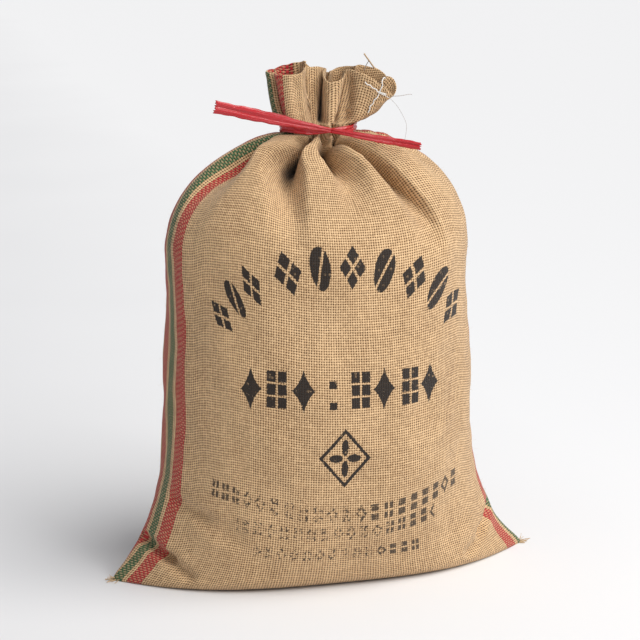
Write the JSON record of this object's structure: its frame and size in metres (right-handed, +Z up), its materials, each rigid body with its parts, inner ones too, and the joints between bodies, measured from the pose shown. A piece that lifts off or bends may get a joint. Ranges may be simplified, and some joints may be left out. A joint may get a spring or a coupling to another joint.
{
  "type": "tied jute sack of rice",
  "caption": "Filled jute sack standing on its base, gathered at the neck and tied with a stiff red plastic strip, with coloured side stripes and plain printed shapes.",
  "frame": {"origin": "on the floor, at the middle of the flat patch that the sack stands on", "axes": "+Z up, -Y out of the printed front panel, +X to the right as seen from the front"},
  "size_m": [0.4978, 0.2515, 0.58],
  "materials": {
    "jute cloth": "coarse plain weave, matte",
    "red plastic strip": "ridged lengthwise, scuffed white in places",
    "sewing thread": "matte thread"
  },
  "bodies": {
    "root": {"sack": "jute cloth", "tie": "red plastic strip", "stitch_thread": "sewing thread"}
  },
  "joints": []
}
